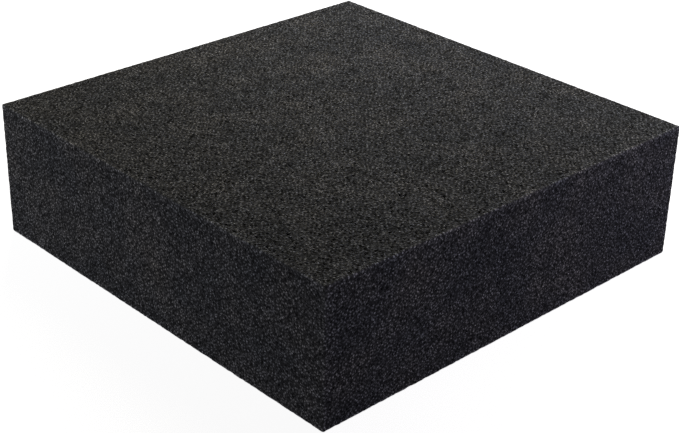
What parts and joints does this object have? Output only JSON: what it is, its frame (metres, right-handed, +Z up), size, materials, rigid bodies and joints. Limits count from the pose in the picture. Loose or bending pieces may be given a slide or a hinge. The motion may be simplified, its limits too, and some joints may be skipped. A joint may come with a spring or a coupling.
{
  "type": "foam block",
  "caption": "Square block of charcoal grey open-cell foam with knife-cut faces and slightly soft edges.",
  "frame": {"origin": "centre of the underside, on the surface that the block lies on", "axes": "+Z up through the block's thickness, +X and +Y along its two equal sides"},
  "size_m": [0.1, 0.1, 0.03],
  "materials": {
    "foam": "matte open-cell polyurethane foam"
  },
  "bodies": {
    "root": {"foam_block": "foam"}
  },
  "joints": []
}
